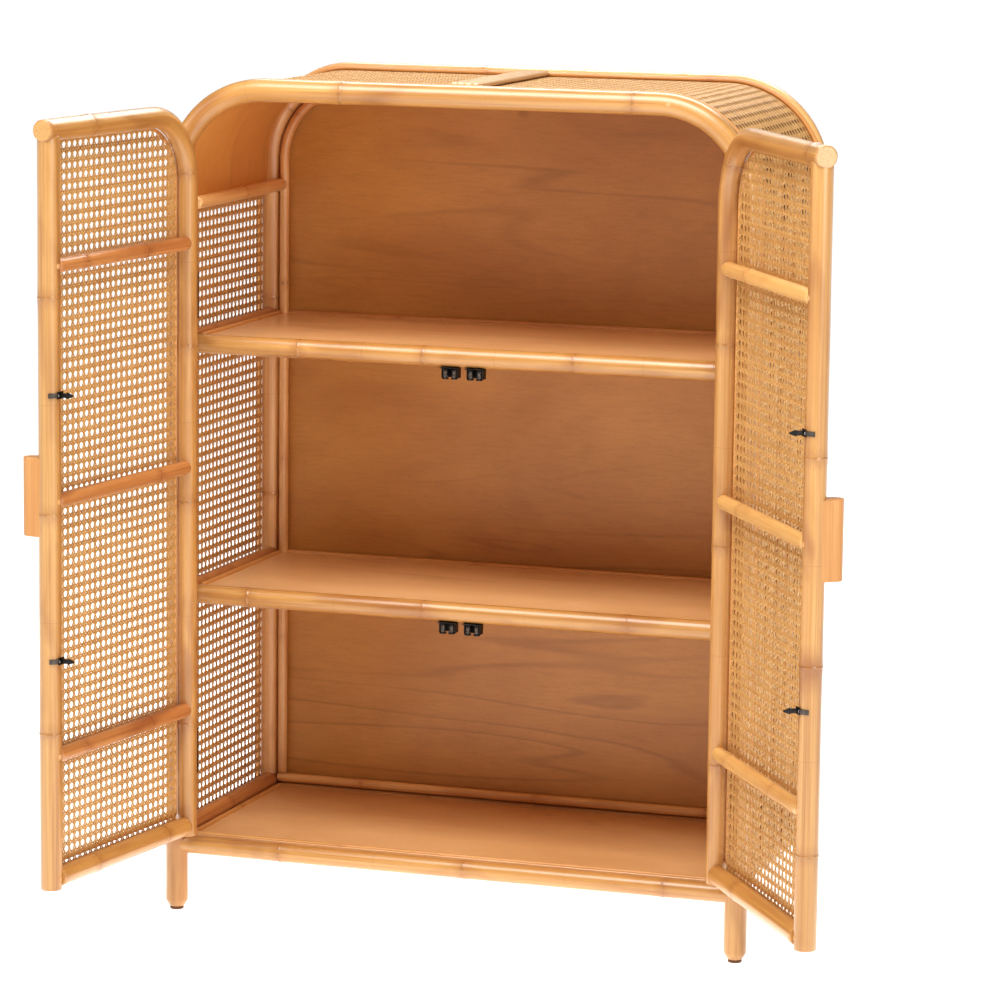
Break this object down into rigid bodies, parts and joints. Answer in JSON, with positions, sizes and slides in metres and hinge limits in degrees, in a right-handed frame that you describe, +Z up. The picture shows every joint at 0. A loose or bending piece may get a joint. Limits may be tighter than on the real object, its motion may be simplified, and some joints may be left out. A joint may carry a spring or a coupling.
{
  "type": "shoe cabinet",
  "caption": "Free-standing rattan shoe cabinet with an arched pole frame, cane webbing sides, plywood shelves and hinged cane doors standing open.",
  "frame": {"origin": "middle of the front left glide's sole, on the floor; left is as seen from the front", "axes": "+Z up; -Y out of the front; +X to the right seen from the front"},
  "size_m": [1.0231, 0.7258, 1.1037],
  "materials": {
    "rattan_pole": "satin lacquer",
    "rattan_strip": "satin lacquer",
    "plywood": "satin lacquer",
    "cane": "matte",
    "dark_metal": "satin",
    "nylon": "matte"
  },
  "bodies": {
    "carcass": {"back_panel": "plywood", "back_trim_arch": "rattan_strip", "back_trim_bottom": "rattan_strip", "bottom_board": "plywood", "bottom_rail_front": "rattan_pole", "bottom_rail_rear": "rattan_pole", "cane_left": "cane", "cane_right": "cane", "edge_strip_front": "rattan_strip", "edge_strip_rear": "rattan_strip", "frame_hinge_leaf_left_lower": "dark_metal", "frame_hinge_leaf_left_upper": "dark_metal", "frame_hinge_leaf_right_lower": "dark_metal", "frame_hinge_leaf_right_upper": "dark_metal", "front_arch": "rattan_pole", "glide_front_left": "nylon", "glide_front_right": "nylon", "glide_rear_left": "nylon", "glide_rear_right": "nylon", "lower_shelf_board": "plywood", "lower_shelf_pole": "rattan_pole", "rear_arch": "rattan_pole", "roller_catches_lower": "dark_metal", "roller_catches_upper": "dark_metal", "side_rail_bottom_left": "rattan_pole", "side_rail_bottom_right": "rattan_pole", "side_rail_lower_shelf_left": "rattan_pole", "side_rail_lower_shelf_right": "rattan_pole", "side_rail_upper_shelf_left": "rattan_pole", "side_rail_upper_shelf_right": "rattan_pole", "top_batten": "rattan_strip", "top_liner": "plywood", "top_side_rail_left": "rattan_pole", "top_side_rail_right": "rattan_pole", "upper_shelf_board": "plywood", "upper_shelf_pole": "rattan_pole"},
    "door_left": {"door_left_bent_pole": "rattan_pole", "door_left_bottom_rail": "rattan_pole", "door_left_cane": "cane", "door_left_cross_rail_lower": "rattan_pole", "door_left_cross_rail_middle": "rattan_pole", "door_left_cross_rail_upper": "rattan_pole", "door_left_handle": "rattan_pole", "door_left_hinge_leaf_lower": "dark_metal", "door_left_hinge_leaf_upper": "dark_metal", "door_left_meeting_stile": "rattan_pole", "door_left_strike_lower": "dark_metal", "door_left_strike_upper": "dark_metal"},
    "door_right": {"door_right_bent_pole": "rattan_pole", "door_right_bottom_rail": "rattan_pole", "door_right_cane": "cane", "door_right_cross_rail_lower": "rattan_pole", "door_right_cross_rail_middle": "rattan_pole", "door_right_cross_rail_upper": "rattan_pole", "door_right_handle": "rattan_pole", "door_right_hinge_leaf_lower": "dark_metal", "door_right_hinge_leaf_upper": "dark_metal", "door_right_meeting_stile": "rattan_pole", "door_right_strike_lower": "dark_metal", "door_right_strike_upper": "dark_metal"}
  },
  "joints": [
    {"name": "door_left_hinge", "type": "hinge", "parent": "carcass", "child": "door_left", "pos_m": [0.0161, -0.012, 0], "axis": [0, 0, -1], "range_deg": [-97.4, 57.6]},
    {"name": "door_right_hinge", "type": "hinge", "parent": "carcass", "child": "door_right", "pos_m": [0.7509, -0.012, 0], "axis": [0, 0, 1], "range_deg": [-124.2, 30.8]}
  ]
}
